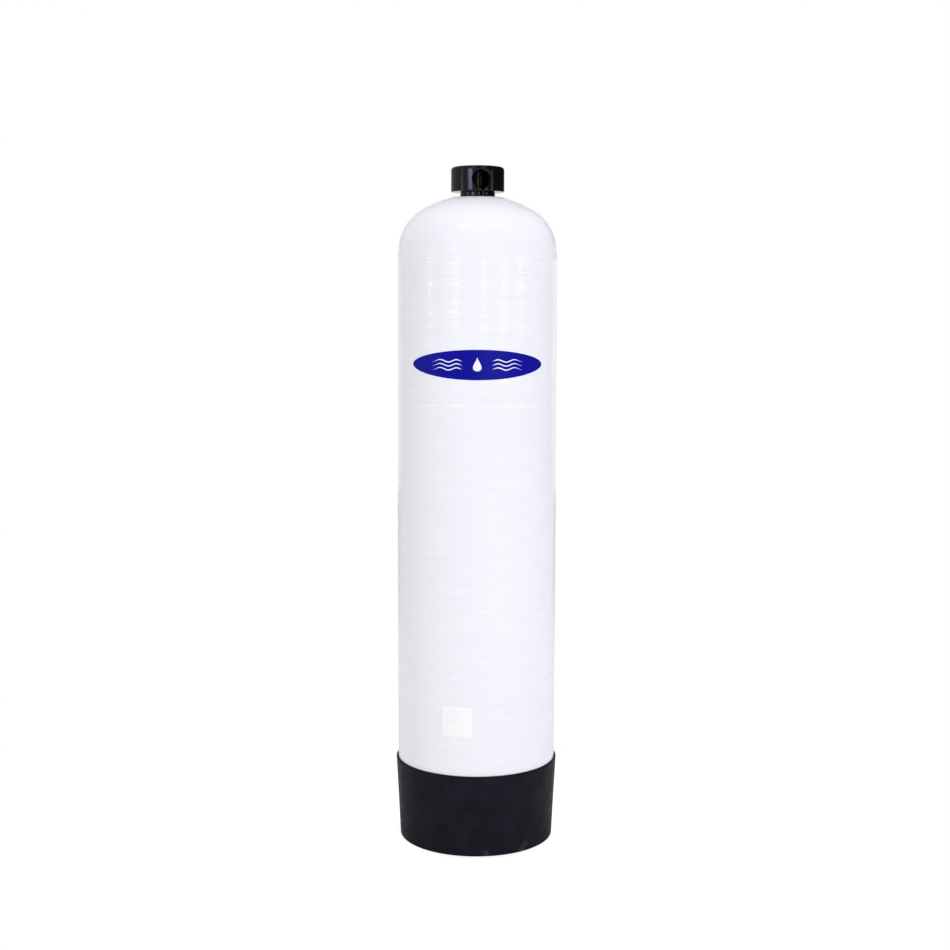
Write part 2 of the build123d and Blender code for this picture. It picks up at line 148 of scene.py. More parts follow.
bright = maths(tree, "ADD", seen, mirrored, clamp=True)
feed(tree, room.inputs["Strength"], maths(tree, "ADD", bright, diffuse))


def window(bearing, reach, low, high, soft, strength, tint):
    """Adds a soft window that only gloss shows. Its reach and heights are parts of a unit sphere."""
    turn = radians(bearing)
    parts = []
    for axis in ((cos(turn), sin(turn), 0), (sin(turn), -cos(turn), 0)):
        dot = tree.nodes.new("ShaderNodeVectorMath")
        dot.operation = "DOT_PRODUCT"
        dot.inputs[1].default_value = axis
        feed(tree, dot.inputs[0], way)
        parts.append(dot.outputs["Value"])
    sides = (WINDOW_INNER * reach, WINDOW_OUTER * reach)
    mask = crossfade(tree, maths(tree, "ABSOLUTE", parts[0]), sides, 1, 0)
    mask = maths(tree, "MULTIPLY", mask, maths(tree, "GREATER_THAN", parts[1], 0))
    mask = maths(tree, "MULTIPLY", mask, crossfade(tree, way_z, (low, low + soft), 0, 1))
    mask = maths(tree, "MULTIPLY", mask, crossfade(tree, way_z, (high, high + soft), 1, 0))
    mask = maths(tree, "MULTIPLY", glossy, mask)
    pane = tree.nodes.new("ShaderNodeBackground")
    pane.inputs["Color"].default_value = (*tint, 1)
    feed(tree, pane.inputs["Strength"], maths(tree, "MULTIPLY", mask, strength))
    join = tree.nodes.new("ShaderNodeAddShader")
    surface = tree.nodes["World Output"].inputs["Surface"]
    feed(tree, join.inputs[0], surface.links[0].from_socket)
    feed(tree, join.inputs[1], pane.outputs[0])
    feed(tree, surface, join.outputs[0])


# The head's side mirrors the first window, the upper wall the next five, and the dome the last two.
window(bearing=-32.5, reach=0.17, low=0.073, high=0.115, soft=0.006, strength=7.5, tint=VIOLET)
for bearing in WALL_WINDOWS:
    window(bearing, reach=0.07, low=0.032, high=0.060, soft=0.008, strength=7.0, tint=COOL_WHITE)
window(bearing=-26, reach=0.12, low=0.765, high=0.815, soft=0.02, strength=6.0, tint=WHITE)
window(bearing=39, reach=0.17, low=0.780, high=0.830, soft=0.02, strength=6.0, tint=WHITE)


def lamp(name, bearing, distance, height, size, watts, tint=WHITE, lean=0):
    """Adds a flat lamp that faces the tank's axis, leaning down by some degrees."""
    data = bpy.data.lights.new(name, "AREA")
    data.shape = "RECTANGLE"
    data.size, data.size_y = size
    data.energy = watts
    data.color = tint
    light = bpy.data.objects.new(name, data)
    bpy.context.scene.collection.objects.link(light)
    turn = radians(bearing)
    light.matrix_world = (
        Matrix.Translation((distance * sin(turn), -distance * cos(turn), height))
        @ Matrix.Rotation(turn, 4, "Z")
        @ Matrix.Rotation(radians(90 - lean), 4, "X")
    )
    light.visible_glossy = False
    light.visible_camera = False


lamp("key_lamp", bearing=24, distance=3.6, height=1.1, size=(2.2, 2.4), watts=56)
lamp("fill_lamp", bearing=-72, distance=3.5, height=1.1, size=(1.8, 2.4), watts=17.5, tint=CREAM)
lamp("rim_left", bearing=-138, distance=2.2, height=1.9, size=(0.8, 1.2), watts=18, tint=CREAM, lean=20)
lamp("rim_right", bearing=138, distance=2.2, height=1.9, size=(0.8, 1.2), watts=20, lean=20)
lamp("top_lamp", bearing=0, distance=0, height=3.4, size=(1.8, 1.8), watts=15.5, lean=90)

# Floor. A wide plain floor in pale matt paint. It keeps the tank's shadow close to the boot, and
# runs into the white of the sweep a step away from it.
FLOOR_R = 6.0
FLOOR_CORNERS = 96
FLOOR_GREY = (0.6, 0.6, 0.6)
FLOOR_ROUGHNESS = 0.9
FLOOR_LIFT = 0.6
FLOOR_FADE = (0.2, 0.6)
bpy.ops.object.select_all(action="DESELECT")
bpy.ops.mesh.primitive_circle_add(
    vertices=FLOOR_CORNERS, radius=FLOOR_R, fill_type="NGON", location=(0, 0, 0)
)
floor = bpy.context.object
floor.name = "floor"
paint = bpy.data.materials.new("floor_paint")
paint.use_nodes = True
tree = paint.node_tree
matte = tree.nodes["Principled BSDF"]
matte.inputs["Base Color"].default_value = (*FLOOR_GREY, 1)
matte.inputs["Roughness"].default_value = FLOOR_ROUGHNESS
matte.inputs["Specular IOR Level"].default_value = 0.0
rays = tree.nodes.new("ShaderNodeLightPath").outputs
seen = maths(tree, "ADD", rays["Is Camera Ray"], rays["Is Transmission Ray"], clamp=True)
lift = tree.nodes.new("ShaderNodeEmission")
feed(tree, lift.inputs["Strength"], maths(tree, "MULTIPLY", seen, FLOOR_LIFT))
near = tree.nodes.new("ShaderNodeAddShader")
feed(tree, near.inputs[0], matte.outputs[0])
feed(tree, near.inputs[1], lift.outputs[0])
length = tree.nodes.new("ShaderNodeVectorMath")
length.operation = "LENGTH"
feed(tree, length.inputs[0], coordinates(tree))
far = crossfade(tree, length.outputs["Value"], FLOOR_FADE, 0, 1)
white = tree.nodes.new("ShaderNodeEmission")
mix = tree.nodes.new("ShaderNodeMixShader")
feed(tree, mix.inputs["Fac"], maths(tree, "MULTIPLY", seen, far))
feed(tree, mix.inputs[1], near.outputs[0])
feed(tree, mix.inputs[2], white.outputs[0])
feed(tree, tree.nodes["Material Output"].inputs["Surface"], mix.outputs[0])
floor.data.materials.append(paint)

# Liner. The inner tank, blow-moulded in one piece of natural polyethylene. It holds the water,
# and the glass is wound on it. The CAD node has its shape and gets the plastic.
LINER_COLOUR = (0.72, 0.72, 0.68)
LINER_SHADES = ((0.68, 0.68, 0.63), (0.75, 0.75, 0.71))
NOISE_REACH = (0.3, 0.7)


def finish(name, colour, roughness=0.5):
    """Starts a material, and gives it with its node tree and its shader."""
    material = bpy.data.materials.new(name)
    material.use_nodes = True
    shader = material.node_tree.nodes["Principled BSDF"]
    shader.inputs["Base Color"].default_value = (*colour, 1)
    shader.inputs["Roughness"].default_value = roughness
    return material, material.node_tree, shader


def mottle(tree, scale, detail=4.0, stretch=(1, 1, 1)):
    """Noise on the piece's own coordinates, in features per metre, stretched by axis."""
    place = tree.nodes.new("ShaderNodeMapping")
    place.inputs["Scale"].default_value = stretch
    noise = tree.nodes.new("ShaderNodeTexNoise")
    noise.inputs["Scale"].default_value = scale
    noise.inputs["Detail"].default_value = detail
    feed(tree, place.inputs["Vector"], coordinates(tree))
    feed(tree, noise.inputs["Vector"], place.outputs["Vector"])
    return noise.outputs["Fac"]


def colour_by(tree, shader, value, shades, reach=NOISE_REACH):
    """Colours a shader between two shades, as a value goes over its reach."""
    node = tree.nodes.new("ShaderNodeValToRGB")
    for element, place, shade in zip(node.color_ramp.elements, reach, shades):
        element.position = place
        element.color = (*shade, 1)
    feed(tree, node.inputs["Fac"], value)
    feed(tree, shader.inputs["Base Color"], node.outputs["Color"])
    return node.outputs["Color"]


def relief(tree, shader, height, depth):
    """Gives a shader a bump of some metres in depth."""
    node = tree.nodes.new("ShaderNodeBump")
    node.inputs["Distance"].default_value = depth
    feed(tree, node.inputs["Height"], height)
    feed(tree, shader.inputs["Normal"], node.outputs["Normal"])


def dress(node, material):
    """Gives a CAD node its material."""
    for slot in nodes[node].material_slots:
        slot.material = material


natural_plastic, tree, shader = finish("natural_plastic", LINER_COLOUR, roughness=0.4)
colour_by(tree, shader, mottle(tree, scale=12), LINER_SHADES)
relief(tree, shader, mottle(tree, scale=120), depth=0.0003)
dress("tank_liner", natural_plastic)

# Neck insert. A threaded ring, moulded in glass-filled plastic, bonded into the liner's mouth
# and held there by the winding. Its right-handed thread stands inside it as a ridge.
INSERT_COLOUR = (0.55, 0.55, 0.53)
INSERT_SHADES = ((0.5, 0.5, 0.48), (0.6, 0.6, 0.58))
THREAD_PITCH = 0.003175
THREAD_START_Z = 1.330
THREAD_TURNS = 6
THREAD_STEPS = 48
RIDGE_TIP = (0.03475, 0.00035)
RIDGE_ROOT = (0.03645, 0.00133)
filled_plastic, tree, shader = finish("filled_plastic", INSERT_COLOUR, roughness=0.5)
colour_by(tree, shader, mottle(tree, scale=200), INSERT_SHADES)
relief(tree, shader, mottle(tree, scale=900), depth=0.0001)
dress("neck_insert", filled_plastic)


def drawn(name, line):
    """Draws a line point by point, each a radius and a height, and stays in edit mode."""
    bpy.ops.object.select_all(action="DESELECT")
    r, z = line[0]
    bpy.ops.mesh.primitive_circle_add(vertices=3, radius=0.001, location=(r, 0, z))
    piece = bpy.context.object
    piece.name = name
    bpy.ops.object.mode_set(mode="EDIT")
    bpy.ops.mesh.select_all(action="SELECT")
    bpy.ops.mesh.merge(type="CENTER")
    for (r, z), (next_r, next_z) in zip(line, line[1:]):
        bpy.ops.mesh.extrude_region_move(
            TRANSFORM_OT_translate={"value": (next_r - r, 0, next_z - z)}
        )
    bpy.ops.mesh.select_all(action="SELECT")
    return piece


def close_skin():
    """Merges doubles in edit mode and turns all faces outwards."""
    bpy.ops.mesh.select_all(action="SELECT")
    bpy.ops.mesh.remove_doubles(threshold=1e-6)
    bpy.ops.mesh.normals_make_consistent(inside=False)
    bpy.ops.object.mode_set(mode="OBJECT")


def helix(name, tip, root, pitch, start_z, turns):
    """Sweeps a thread's section up a right-handed screw. Tip and root: a radius and half a width."""
    (tip_r, tip_half), (root_r, root_half) = tip, root
    section = [(tip_r, -tip_half), (tip_r, tip_half), (root_r, root_half), (root_r, -root_half)]
    line = [(r, start_z + z) for r, z in section + section[:1]]
    piece = drawn(name, line)
    bpy.ops.mesh.remove_doubles(threshold=1e-6)
    bpy.ops.object.mode_set(mode="OBJECT")
    bpy.ops.object.transform_apply(location=True, rotation=True, scale=True)
    screw = piece.modifiers.new("screw", "SCREW")
    screw.screw_offset = pitch
    screw.iterations = turns
    screw.steps = screw.render_steps = THREAD_STEPS
    bpy.ops.object.modifier_apply(modifier="screw")
    bpy.ops.object.mode_set(mode="EDIT")
    bpy.ops.mesh.select_all(action="SELECT")
    bpy.ops.mesh.remove_doubles(threshold=1e-6)
    bpy.ops.mesh.fill_holes(sides=len(section))
    close_skin()
    return piece


thread = helix("neck_thread", RIDGE_TIP, RIDGE_ROOT, THREAD_PITCH, THREAD_START_Z, THREAD_TURNS)
thread.data.materials.append(filled_plastic)
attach(thread, "root")

# Tank shell. Glass fibre wound over the liner and coated with white gel. The hoop winding of
# the straight part shows as fine ridges, and it runs out on the smooth domes.
TANK_R = 0.1670
DOME_R = 0.1655
KNUCKLE_R = 0.0992
CROWN_R = 0.2277
LOWER_TANGENT_Z = 0.1277
UPPER_TANGENT_Z = 1.2439
HOOP_RUNOUT = 0.016
SHELL_WALL = 0.003
SHELL_FACETS = 112
SHELL_SMOOTH = 35
TANK_TOP_Z = 1.3523
INSERT_RIM_R = 0.046
INSERT_FLANGE_R = 0.064
BAND_STRANDS = (0.0052, 0.0068, 0.0040, 0.0050)
STRAND_GROOVE = 0.0006
STRAND_RELIEF = 0.00009
STRAND_WIDTHS = (0.85, 1.15)
STRAND_DEPTHS = (0.5, 1.6)
STRAND_LEAN = 0.9
WINDING_TOP_Z = 1.268
WINDING_FADE = 0.02
WINDING_SEED = 13
UP = 1
DOWN = -1
GEL_COLOUR = (0.86, 0.86, 0.93)
GEL_SHADES = ((0.835, 0.835, 0.905), (0.88, 0.88, 0.95))
GEL_ROUGHNESS = (0.05, 0.09)
STREAKS = (17, 17, 430)
FINE_STREAKS = (24, 24, 800)


def roughen(tree, shader, value, levels):
    """Takes a shader's roughness from one level to another, as noise goes over its reach."""
    feed(tree, shader.inputs["Roughness"], remap(tree, value, NOISE_REACH, levels))


def crown_centre(way):
    """Height of the centre of the crown of the upper or the lower dome."""
    tangent = UPPER_TANGENT_Z if way == UP else LOWER_TANGENT_Z
    return tangent - way * sqrt((CROWN_R - KNUCKLE_R) ** 2 - (DOME_R - KNUCKLE_R) ** 2)


def dome_section(depth, way, end_r, knuckle_steps, crown_steps):
    """Points of a dome from its tangent line to radius end_r, at a depth under its surface."""
    tangent = UPPER_TANGENT_Z if way == UP else LOWER_TANGENT_Z
    centre_r = DOME_R - KNUCKLE_R
    knuckle_r = KNUCKLE_R - depth
    crown_r = CROWN_R - depth
    join = atan2(centre_r, way * (tangent - crown_centre(way)))
    end = asin(end_r / crown_r)
    points = []
    for count in range(knuckle_steps):
        angle = pi / 2 + (join - pi / 2) * count / knuckle_steps
        points.append((centre_r + knuckle_r * sin(angle), tangent + way * knuckle_r * cos(angle)))
    for count in range(crown_steps + 1):
        angle = join + (end - join) * count / crown_steps
        points.append((crown_r * sin(angle), crown_centre(way) + way * crown_r * cos(angle)))
    return points


def wall_radius(z):
    """Radius of the shell before its strands: straight, run out to the domes, and the knuckle."""
    low = LOWER_TANGENT_Z + HOOP_RUNOUT
    high = UPPER_TANGENT_Z - HOOP_RUNOUT
    if z < low:
        return TANK_R - (TANK_R - DOME_R) * (low - z) / HOOP_RUNOUT
    if z <= high:
        return TANK_R
    if z <= UPPER_TANGENT_Z:
        return TANK_R - (TANK_R - DOME_R) * (z - high) / HOOP_RUNOUT
    return DOME_R - KNUCKLE_R + sqrt(KNUCKLE_R**2 - (z - UPPER_TANGENT_Z) ** 2)


def hoop_winding():
    """Points up the wall: a narrow groove and a flat crown for each strand, none quite alike."""
    draw = random.Random(WINDING_SEED)
    points = []
    z = LOWER_TANGENT_Z
    strand = 0
    while z < WINDING_TOP_Z:
        width = BAND_STRANDS[strand % len(BAND_STRANDS)] * draw.uniform(*STRAND_WIDTHS)
        deep = STRAND_RELIEF * draw.uniform(*STRAND_DEPTHS)
        lean = STRAND_RELIEF * draw.uniform(-STRAND_LEAN, STRAND_LEAN)
        points.append((wall_radius(z) - deep, z))
        for rise, inset in ((STRAND_GROOVE, -lean / 2), (width - STRAND_GROOVE, lean / 2)):
            points.append((wall_radius(z + rise) - STRAND_RELIEF * 0.5 + inset, z + rise))
        z += width
        strand += 1
    return points


def spun(name, section, facets):
    """Spins a half section round the tank's axis."""
    piece = drawn(name, section)
    bpy.ops.mesh.spin(steps=facets, angle=2 * pi, center=(0, 0, 0), axis=(0, 0, 1))
    close_skin()
    bpy.ops.object.transform_apply(location=True, rotation=True, scale=True)
    return piece


top_r = sqrt(CROWN_R**2 - (TANK_TOP_Z - crown_centre(UP)) ** 2)
flange_z = crown_centre(UP) + sqrt((CROWN_R - SHELL_WALL) ** 2 - INSERT_FLANGE_R**2)
section = dome_section(0, DOWN, end_r=0, knuckle_steps=8, crown_steps=10)[::-1][:-1]
section += hoop_winding()
upper_dome = dome_section(0, UP, top_r, knuckle_steps=24, crown_steps=20)
section += [point for point in upper_dome if point[1] > section[-1][1]]
section += [(INSERT_RIM_R, TANK_TOP_Z), (INSERT_RIM_R, flange_z), (INSERT_FLANGE_R, flange_z)]
section += dome_section(SHELL_WALL, UP, INSERT_FLANGE_R, knuckle_steps=8, crown_steps=6)[::-1]
section += dome_section(SHELL_WALL, DOWN, end_r=0, knuckle_steps=8, crown_steps=8)
tank = spun("wound_shell", section, SHELL_FACETS)
bpy.ops.object.shade_smooth_by_angle(angle=radians(SHELL_SMOOTH))

gelcoat, tree, shader = finish("gelcoat", GEL_COLOUR)
height = apart(tree, coordinates(tree))["Z"]
wound = crossfade(tree, height, (WINDING_TOP_Z - WINDING_FADE, WINDING_TOP_Z), 1, 0)
streak = maths(tree, "SUBTRACT", mottle(tree, scale=1, detail=4, stretch=STREAKS), 0.5)
streak = maths(tree, "ADD", maths(tree, "MULTIPLY", streak, wound), 0.5)
colour_by(tree, shader, streak, GEL_SHADES)
roughen(tree, shader, mottle(tree, scale=18, detail=3), GEL_ROUGHNESS)
fine = maths(tree, "MULTIPLY", mottle(tree, scale=1, detail=3, stretch=FINE_STREAKS), wound)
relief(tree, shader, fine, depth=0.00002)
tank.data.materials.append(gelcoat)
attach(tank, "root")
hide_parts("tank_winding")

# Gel run. A short run of the white gel, which set as it slid down the wall above the oval
# label's right end. It is a thin bead that ends in a fuller drop.
RUN_BEARING = 46.9
RUN_Z = 1.1488
RUN_HALF_WIDTH = 0.0012
RUN_DEPTH = 0.0009
RUN_HALF_LENGTH = 0.0075
RUN_DROP = 1.5
RUN_DROP_START = -0.3
bpy.ops.object.select_all(action="DESELECT")
bpy.ops.mesh.primitive_uv_sphere_add(segments=20, ring_count=14, radius=1, location=(0, 0, 0))
run = bpy.context.object
run.name = "gel_run"
bpy.ops.object.mode_set(mode="EDIT")
bpy.ops.mesh.select_all(action="DESELECT")
bpy.ops.object.mode_set(mode="OBJECT")
for vertex in run.data.vertices:
    vertex.select = vertex.co.z < RUN_DROP_START
bpy.ops.object.mode_set(mode="EDIT")
bpy.ops.transform.resize(value=(RUN_DROP, RUN_DROP, 1))
bpy.ops.mesh.select_all(action="SELECT")
bpy.ops.transform.resize(value=(RUN_HALF_WIDTH, RUN_DEPTH, RUN_HALF_LENGTH))
bpy.ops.object.mode_set(mode="OBJECT")
run.location = (TANK_R * sin(radians(RUN_BEARING)), -TANK_R * cos(radians(RUN_BEARING)), RUN_Z)
run.rotation_euler = (0, 0, radians(RUN_BEARING))
bpy.ops.object.transform_apply(location=True, rotation=True, scale=True)
bpy.ops.object.shade_smooth()
run.data.materials.append(gelcoat)
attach(run, "root")

# Boot. A tapered tub, moulded in black polyethylene with a fine matt grain, with ribs inside
# that carry the tank's lower dome. Its foot is scuffed in three places at the front.
BOOT_COLOUR = (0.009, 0.009, 0.015)
BOOT_SHADES = ((0.008, 0.008, 0.0135), (0.0135, 0.0135, 0.021))
BOOT_SHADES_REACH = (0.3, 0.75)
BOOT_SHEEN = 0.045
BOOT_ROUGHNESS = (0.36, 0.5)
SCUFF_COLOUR = (0.07, 0.07, 0.08)
SCUFF_GRAIN = (0.45, 0.65)
SCUFF_WEAR = (0.2, 1.0)
BOOT_SCUFFS = (
    ((0.1024, -0.1274, 0.0150), 0.010),
    ((0.0940, -0.1332, 0.0060), 0.011),
    ((0.0207, -0.1619, 0.0080), 0.010),
)


def blend(tree, share, first, second):
    """Mixes two colours, each a plain one or an output, by a share of the second."""
    node = tree.nodes.new("ShaderNodeMix")
    node.data_type = "RGBA"
    feed(tree, node.inputs["Factor"], share)
    feed(tree, node.inputs["A"], first)
    feed(tree, node.inputs["B"], second)
    return node.outputs["Result"]


boot_plastic, tree, shader = finish("boot_plastic", BOOT_COLOUR)
shader.inputs["Specular IOR Level"].default_value = BOOT_SHEEN
colour = colour_by(tree, shader, mottle(tree, scale=26), BOOT_SHADES, BOOT_SHADES_REACH)
grain = remap(tree, mottle(tree, scale=240, detail=3), SCUFF_GRAIN, SCUFF_WEAR)
for place, reach in BOOT_SCUFFS:
    away = tree.nodes.new("ShaderNodeVectorMath")
    away.operation = "DISTANCE"
    away.inputs[1].default_value = place
    feed(tree, away.inputs[0], coordinates(tree))
    worn = crossfade(tree, away.outputs["Value"], (0, reach), 1, 0)
    colour = blend(tree, maths(tree, "MULTIPLY", worn, grain), colour, (*SCUFF_COLOUR, 1))
feed(tree, shader.inputs["Base Color"], colour)
roughen(tree, shader, mottle(tree, scale=60), BOOT_ROUGHNESS)
relief(tree, shader, mottle(tree, scale=900, detail=2), depth=0.0002)
dress("base_boot", boot_plastic)

# Adhesive. Dabs of filler, laid on the boot's ribs before the tank is set down on them. They
# have cured hard between the ribs and the lower dome.
FILLER_COLOUR = (0.6, 0.52, 0.34)
FILLER_SHADES = ((0.5, 0.41, 0.24), (0.66, 0.59, 0.4))
cured_filler, tree, shader = finish("cured_filler", FILLER_COLOUR, roughness=0.45)
colour_by(tree, shader, mottle(tree, scale=80), FILLER_SHADES)
relief(tree, shader, mottle(tree, scale=300), depth=0.0006)
dress("boot_adhesive", cured_filler)

# Lower basket, riser and upper screen. The basket, its cap and collar, the screen and the seal's
# retainer are moulded in white plastic. The riser is a plain white pipe, glued into the collar.
WHITE_COLOUR = (0.8, 0.8, 0.79)
WHITE_SHADES = ((0.76, 0.76, 0.74), (0.83, 0.83, 0.82))
WHITE_PARTS = (
    "lower_basket_cap",
    "lower_basket",
    "lower_basket_collar",
    "riser_tube",
    "riser_seal_retainer",
    "upper_screen",
)
white_plastic, tree, shader = finish("white_plastic", WHITE_COLOUR, roughness=0.35)
colour_by(tree, shader, mottle(tree, scale=40), WHITE_SHADES)
relief(tree, shader, mottle(tree, scale=700), depth=0.00005)
for node in WHITE_PARTS:
    dress(node, white_plastic)

# Gravel. Washed stones, poured in round the lower basket. They spread the flow and keep the
# beads off the basket's slots.
GRAVEL_COLOUR = (0.42, 0.37, 0.31)
GRAVEL_SHADES = ((0.24, 0.2, 0.16), (0.55, 0.5, 0.43))


def stones(tree, scale):
    """Round grains on the piece's own coordinates, in grains per metre."""
    node = tree.nodes.new("ShaderNodeTexVoronoi")
    node.inputs["Scale"].default_value = scale
    feed(tree, node.inputs["Vector"], coordinates(tree))
    return node.outputs["Distance"]


washed_gravel, tree, shader = finish("washed_gravel", GRAVEL_COLOUR, roughness=0.85)
colour_by(tree, shader, mottle(tree, scale=160), GRAVEL_SHADES)
relief(tree, shader, stones(tree, scale=220), depth=0.004)
dress("gravel_bed", washed_gravel)

# Media. Small round beads that treat the water, poured in over the gravel through the neck.
# The free space above them lets the water spread before it goes down between them.
BEAD_COLOUR = (0.62, 0.6, 0.55)
BEAD_SHADES = ((0.5, 0.48, 0.43), (0.7, 0.68, 0.62))
treating_beads, tree, shader = finish("treating_beads", BEAD_COLOUR, roughness=0.6)
colour_by(tree, shader, mottle(tree, scale=500), BEAD_SHADES)
relief(tree, shader, stones(tree, scale=700), depth=0.001)
dress("media_bed", treating_beads)

# Seals. Round rings of black rubber. One lies in the groove of the head's neck, at the tank's
# mouth, and the other seals the riser inside the head.
RUBBER_COLOUR = (0.012, 0.012, 0.012)
RUBBER_ROUGHNESS = (0.45, 0.65)
seal_rubber, tree, shader = finish("seal_rubber", RUBBER_COLOUR)
roughen(tree, shader, mottle(tree, scale=300), RUBBER_ROUGHNESS)
dress("neck_o_ring", seal_rubber)
dress("riser_o_ring", seal_rubber)

# Head. The in/out head is one black moulding, glossy outside. It has a straight thread on its
# neck, screwed into the tank's, and a pipe thread in each of its two ports.
HEAD_COLOUR = (0.003, 0.003, 0.004)
HEAD_ROUGHNESS = (0.09, 0.14)
HEAD_R = 0.0554
HEAD_BOTTOM_Z = 1.3645
HEAD_TOP_Z = 1.4157
HEAD_FACETS = 160
HEAD_SMOOTH = 20
TOP_ROUND = 0.007
BOTTOM_ROUND = 0.0015
FLAT_EDGE = 0.0003
NECK_R = 0.036
NECK_BOTTOM_Z = 1.332
NECK_CHAMFER = 0.0015
SEAL_ROOM = (0.03195, 1.35057, 1.35647)
CHAMBER_R = 0.028
CHAMBER_TOP_Z = 1.404
PILOT_R = 0.0195
PILOT_BOTTOM_Z = 1.326
SEAL_SEAT = (0.0172, 1.338)
RISER_SOCKET = (0.013635, 1.366)
RISER_BORE_R = 0.0105
PORT_Z = 1.389
PORT_YAW = 10
PORT_R = 0.0202
PASSAGE_R = 0.011
BRIDGE_R = 0.0145
BRIDGE_REACH = (0.012, 0.030)
PASSAGE_REACH = (0.002, 0.040)
OUTLET_REACH = (0.0325, 0.060)
INLET_REACH = (0.021, 0.060)
ROD_FACETS = 96
MOUTH_CHAMFER = 0.0011
PLUG_OVERLAP = 0.0005
PLUG_CROWN = 0.006
PLUG_CENTRE = 0.0001
NECK_GROOVE_TIP = (0.03445, 0.00035)
NECK_GROOVE_ROOT = (0.0362, 0.00136)
PORT_GROOVE_TIP = (0.0213, 0.0002)
PORT_GROOVE_ROOT = (0.0200, 0.00095)
PORT_PITCH = 0.002209
PORT_START = 0.034
PORT_TURNS = 7


def rounded(centre, radius, start, stop, steps):
    """Points of a round, from one angle to another, in degrees from the outside."""
    points = []
    for count in range(steps + 1):
        angle = radians(start + (stop - start) * count / steps)
        points.append((centre[0] + radius * cos(angle), centre[1] + radius * sin(angle)))
    return points


def rod(radius, reach, bearing):
    """A round bar at the ports' height, which reaches along a bearing from the head's axis."""
    turn = radians(bearing)
    middle = (reach[0] + reach[1]) / 2
    bpy.ops.object.select_all(action="DESELECT")
    bpy.ops.mesh.primitive_cylinder_add(
        vertices=ROD_FACETS,
        radius=radius,
        depth=reach[1] - reach[0],
        location=(middle * sin(turn), -middle * cos(turn), PORT_Z),
        rotation=(pi / 2, 0, turn),
    )
    bpy.ops.object.transform_apply(location=True, rotation=True, scale=True)
    return bpy.context.object


def combine(piece, tool, operation):
    """Adds a tool's shape to a piece, or cuts it out, clears the tool away and merges doubles."""
    joined = piece.modifiers.new("joined", "BOOLEAN")
    joined.operation = operation
    joined.solver = "EXACT"
    joined.object = tool
    bpy.ops.object.select_all(action="DESELECT")
    piece.select_set(True)
    bpy.context.view_layer.objects.active = piece
    bpy.ops.object.modifier_apply(modifier="joined")
    bpy.data.objects.remove(tool)
    bpy.ops.object.mode_set(mode="EDIT")
    bpy.ops.mesh.select_all(action="SELECT")
    bpy.ops.mesh.remove_doubles(threshold=1e-6)
    bpy.ops.object.mode_set(mode="OBJECT")


def set_in_port(tool, bearing):
    """Turns a tool that stands on the tank's axis into the port at a bearing."""
    tool.rotation_euler = (pi / 2, 0, radians(bearing))
    tool.location = (0, 0, PORT_Z)
    bpy.ops.object.transform_apply(location=True, rotation=True, scale=True)


def chamfer_plug():
    """A plug that widens outwards, and whose two rims follow the round of the head's side."""
    bpy.ops.object.select_all(action="DESELECT")
    bpy.ops.mesh.primitive_cylinder_add(
        vertices=ROD_FACETS, radius=PORT_R, depth=0.01, end_fill_type="TRIFAN", location=(0, 0, 0)
    )
    plug = bpy.context.object
    for vertex in plug.data.vertices:
        x, y, z = vertex.co
        outer = z > 0
        if hypot(x, y) < PLUG_CENTRE:
            vertex.co.z = HEAD_R + PLUG_CROWN if outer else HEAD_R - 2 * PLUG_CROWN
            continue
        grow = MOUTH_CHAMFER + PLUG_OVERLAP if outer else -PLUG_OVERLAP
        vertex.co.x = x * (PORT_R + grow) / PORT_R
        vertex.co.y = y * (PORT_R + grow) / PORT_R
        vertex.co.z = sqrt(HEAD_R**2 - vertex.co.x**2) + grow - MOUTH_CHAMFER
    return plug


waist = sqrt(PASSAGE_R**2 - RISER_BORE_R**2)
side_bottom_z = HEAD_BOTTOM_Z + BOTTOM_ROUND
side_top_z = HEAD_TOP_Z - TOP_ROUND
top_flat_r = HEAD_R - TOP_ROUND
section = rounded((0, PORT_Z), PASSAGE_R, 90, -degrees(asin(waist / PASSAGE_R)), 16)
section += [(RISER_BORE_R, RISER_SOCKET[1]), RISER_SOCKET, (RISER_SOCKET[0], SEAL_SEAT[1])]
section += [SEAL_SEAT, (SEAL_SEAT[0], PILOT_BOTTOM_Z), (PILOT_R, PILOT_BOTTOM_Z)]
section += [(PILOT_R, CHAMBER_TOP_Z), (CHAMBER_R, CHAMBER_TOP_Z), (CHAMBER_R, NECK_BOTTOM_Z)]
section += [(NECK_R - NECK_CHAMFER, NECK_BOTTOM_Z), (NECK_R, NECK_BOTTOM_Z + NECK_CHAMFER)]
section += [(NECK_R, SEAL_ROOM[1]), (SEAL_ROOM[0], SEAL_ROOM[1]), (SEAL_ROOM[0], SEAL_ROOM[2])]
section += [(NECK_R, SEAL_ROOM[2]), (NECK_R, HEAD_BOTTOM_Z)]
section += rounded((HEAD_R - BOTTOM_ROUND, side_bottom_z), BOTTOM_ROUND, -90, 0, 6)
section += [(HEAD_R, side_bottom_z + FLAT_EDGE), (HEAD_R, side_top_z - FLAT_EDGE)]
section += rounded((top_flat_r, side_top_z), TOP_ROUND, 0, 90, 12)
section += [(top_flat_r - FLAT_EDGE, HEAD_TOP_Z), (0, HEAD_TOP_Z)]
head = spun("in_out_head", section, HEAD_FACETS)
back = PORT_YAW + 180
combine(head, rod(BRIDGE_R, BRIDGE_REACH, back), "UNION")
combine(head, rod(PASSAGE_R, PASSAGE_REACH, back), "DIFFERENCE")
combine(head, rod(PORT_R, OUTLET_REACH, back), "DIFFERENCE")
combine(head, rod(PORT_R, INLET_REACH, PORT_YAW), "DIFFERENCE")
for bearing in (PORT_YAW, back):
    plug = chamfer_plug()
    set_in_port(plug, bearing)
    combine(head, plug, "DIFFERENCE")
